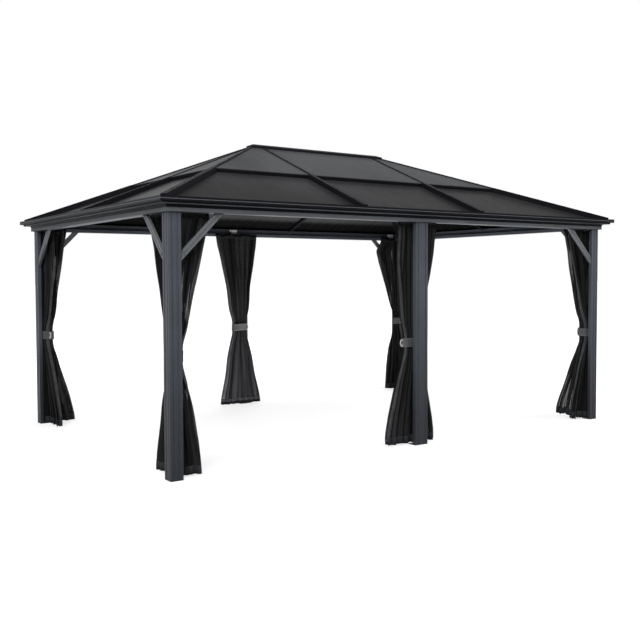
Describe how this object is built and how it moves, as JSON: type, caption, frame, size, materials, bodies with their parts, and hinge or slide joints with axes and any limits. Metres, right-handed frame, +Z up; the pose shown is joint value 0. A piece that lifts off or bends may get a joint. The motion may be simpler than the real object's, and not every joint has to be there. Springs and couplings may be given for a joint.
{
  "type": "metal gazebo",
  "caption": "Rectangular hardtop gazebo with a two-tier hip roof on corner and middle posts, a moulded cornice, knee braces and tied-back insect nets.",
  "frame": {"origin": "on the ground under the middle of the ridge", "axes": "+X along the long side to the right, -Y out of the front long side, +Z up"},
  "size_m": [5.43, 3.63, 2.9752],
  "materials": {
    "frame": "charcoal powder coat, satin",
    "roof_bars": "dark charcoal powder coat, satin",
    "roof_panels": "grey coated sheet, satin",
    "feet": "black powder coat",
    "nets": "black see-through insect mesh",
    "ties": "grey woven tie band"
  },
  "bodies": {
    "root": {"corner_post_front_left": "frame", "corner_post_front_right": "frame", "corner_post_back_left": "frame", "corner_post_back_right": "frame", "middle_post_front": "frame", "middle_post_back": "frame", "foot_plates": "feet", "front_beam": "frame", "back_beam": "frame", "left_beam": "frame", "right_beam": "frame", "front_cornice": "frame", "back_cornice": "frame", "left_cornice": "frame", "right_cornice": "frame", "braces_front_left": "frame", "braces_front_right": "frame", "braces_back_left": "frame", "braces_back_right": "frame", "ridge_beam": "roof_bars", "ridge_hubs": "roof_bars", "ridge_cap": "roof_bars", "hip_rafters": "roof_bars", "common_rafters": "roof_bars", "lower_caps": "roof_bars", "upper_caps": "roof_bars", "front_purlin": "roof_bars", "back_purlin": "roof_bars", "left_purlin": "roof_bars", "right_purlin": "roof_bars", "front_lower_panels": "roof_panels", "front_upper_panels": "roof_panels", "back_lower_panels": "roof_panels", "back_upper_panels": "roof_panels", "left_lower_panels": "roof_panels", "left_upper_panels": "roof_panels", "right_lower_panels": "roof_panels", "right_upper_panels": "roof_panels", "net_front_left": "nets", "net_front_right": "nets", "net_back_left": "nets", "net_back_right": "nets", "net_front_middle": "nets", "net_back_middle": "nets", "net_ties": "ties"}
  },
  "joints": []
}
